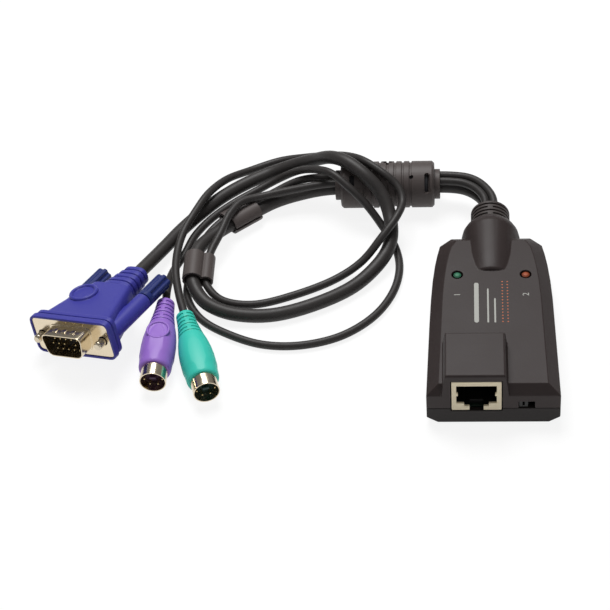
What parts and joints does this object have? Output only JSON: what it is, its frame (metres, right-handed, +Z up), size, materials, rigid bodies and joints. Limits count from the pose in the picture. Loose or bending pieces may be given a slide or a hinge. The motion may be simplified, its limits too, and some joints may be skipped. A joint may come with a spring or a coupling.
{
  "type": "kvm adapter",
  "caption": "Tapered adapter module with a network jack, status lights and a slide switch, and cords through a ferrite to a video plug and round keyboard and mouse plugs.",
  "frame": {"origin": "on the surface the case lies on, under the middle of the case with its strain relief", "axes": "+Z up, +Y from the network jack towards the strain relief, +X to the right seen from the jack"},
  "size_m": [0.1761, 0.1278, 0.0229],
  "materials": {
    "cover_plastic": "fine satin texture",
    "base_plastic": "fine satin texture",
    "screw_steel": "plated",
    "board_laminate": "satin",
    "chip_plastic": "matt",
    "small_parts": "satin",
    "header_plastic": "satin",
    "jack_plastic": "smooth ivory plastic",
    "gold_contact": "gold plated",
    "green_lens": "clear tinted lens",
    "orange_lens": "clear tinted lens",
    "switch_metal": "tinned",
    "slider_plastic": "matt",
    "relief_rubber": "matt",
    "thick_jacket": "satin grey jacket",
    "thin_jacket": "satin dark jacket",
    "ferrite_moulding": "satin",
    "ferrite_ceramic": "matt sintered",
    "blue_moulding": "satin blue",
    "nickel_shell": "warm nickel plate",
    "black_insulator": "matt",
    "dark_blue_knob": "satin dark blue",
    "screw_nickel": "nickel plate",
    "purple_moulding": "satin purple",
    "dark_purple": "matt",
    "green_moulding": "satin green",
    "dark_green": "matt"
  },
  "bodies": {
    "module": {"top_cover": "cover_plastic", "bottom_cover": "base_plastic", "case_screws": "screw_steel", "circuit_board": "board_laminate", "main_chip": "chip_plastic", "board_parts": "small_parts", "wire_header": "header_plastic", "jack_housing": "jack_plastic", "jack_contacts": "gold_contact", "video_pins": "gold_contact", "keyboard_plug_pins": "gold_contact", "mouse_plug_pins": "gold_contact", "online_light": "green_lens", "power_light": "orange_lens", "switch_body": "switch_metal", "strain_relief": "relief_rubber", "video_cord": "thick_jacket", "keyboard_cord": "thin_jacket", "mouse_cord": "thin_jacket", "ferrite_cover": "ferrite_moulding", "upper_cord_clip": "ferrite_moulding", "lower_cord_clip": "ferrite_moulding", "ferrite_core": "ferrite_ceramic", "video_hood": "blue_moulding", "video_plate": "nickel_shell", "keyboard_plug_shell": "nickel_shell", "mouse_plug_shell": "nickel_shell", "video_insulator": "black_insulator", "keyboard_plug_body": "purple_moulding", "keyboard_plug_insulator": "dark_purple", "mouse_plug_body": "green_moulding", "mouse_plug_insulator": "dark_green"},
    "switch_slider": {"switch_slider": "slider_plastic"},
    "left_screw_stop": {"left_screw_ring": "screw_nickel"},
    "left_thumbscrew": {"left_knob": "dark_blue_knob", "left_jackscrew": "screw_nickel"},
    "right_screw_stop": {"right_screw_ring": "screw_nickel"},
    "right_thumbscrew": {"right_knob": "dark_blue_knob", "right_jackscrew": "screw_nickel"}
  },
  "joints": [
    {"name": "switch_slide", "type": "slide", "parent": "module", "child": "switch_slider", "axis": [1, 0, 0], "range_m": [0, 0.002]},
    {"name": "left_screw_slide", "type": "slide", "parent": "module", "child": "left_screw_stop", "axis": [0.4312, 0.89, -0.148], "range_m": [0, 0.0025]},
    {"name": "left_screw_turn", "type": "hinge", "parent": "left_screw_stop", "child": "left_thumbscrew", "pos_m": [-0.14746, -0.00594, 0.00823], "axis": [0.4312, 0.89, -0.148], "continuous": true},
    {"name": "right_screw_slide", "type": "slide", "parent": "module", "child": "right_screw_stop", "axis": [0.4312, 0.89, -0.148], "range_m": [0, 0.0025]},
    {"name": "right_screw_turn", "type": "hinge", "parent": "right_screw_stop", "child": "right_thumbscrew", "pos_m": [-0.12529, -0.01562, 0.01457], "axis": [0.4312, 0.89, -0.148], "continuous": true}
  ]
}
